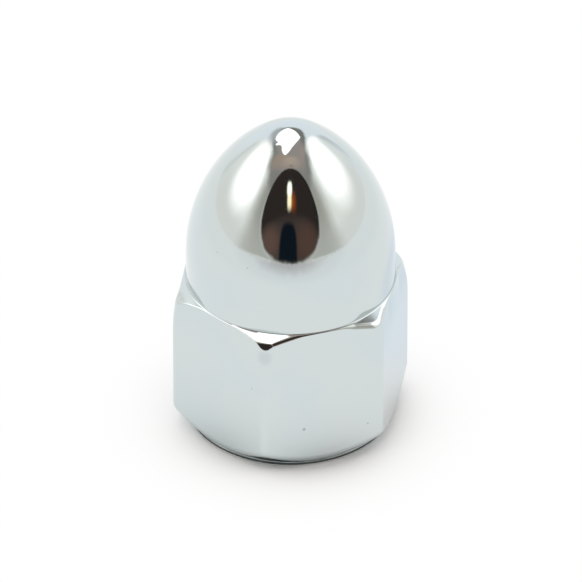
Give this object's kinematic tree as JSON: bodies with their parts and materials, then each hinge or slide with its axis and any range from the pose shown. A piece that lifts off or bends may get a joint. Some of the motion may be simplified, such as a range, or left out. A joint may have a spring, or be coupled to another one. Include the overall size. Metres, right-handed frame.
{
  "type": "cap nut",
  "caption": "Bullet-nosed hexagon cap nut with a blind threaded hole, which closes and covers the end of a stud.",
  "frame": {"origin": "centre of the flat face that the nut is screwed down on, at the mouth of the threaded hole", "axes": "+Z along the nut's axis from the seat to the nose, +X through one upright corner of the hexagon, +Y square to one of its flats"},
  "size_m": [0.016, 0.014, 0.022],
  "materials": {
    "chrome_plated_steel": "mirror polished steel with bright chrome plating, thinner and darker inside the hole"
  },
  "bodies": {
    "root": {"cap_nut": "chrome_plated_steel"}
  },
  "joints": []
}
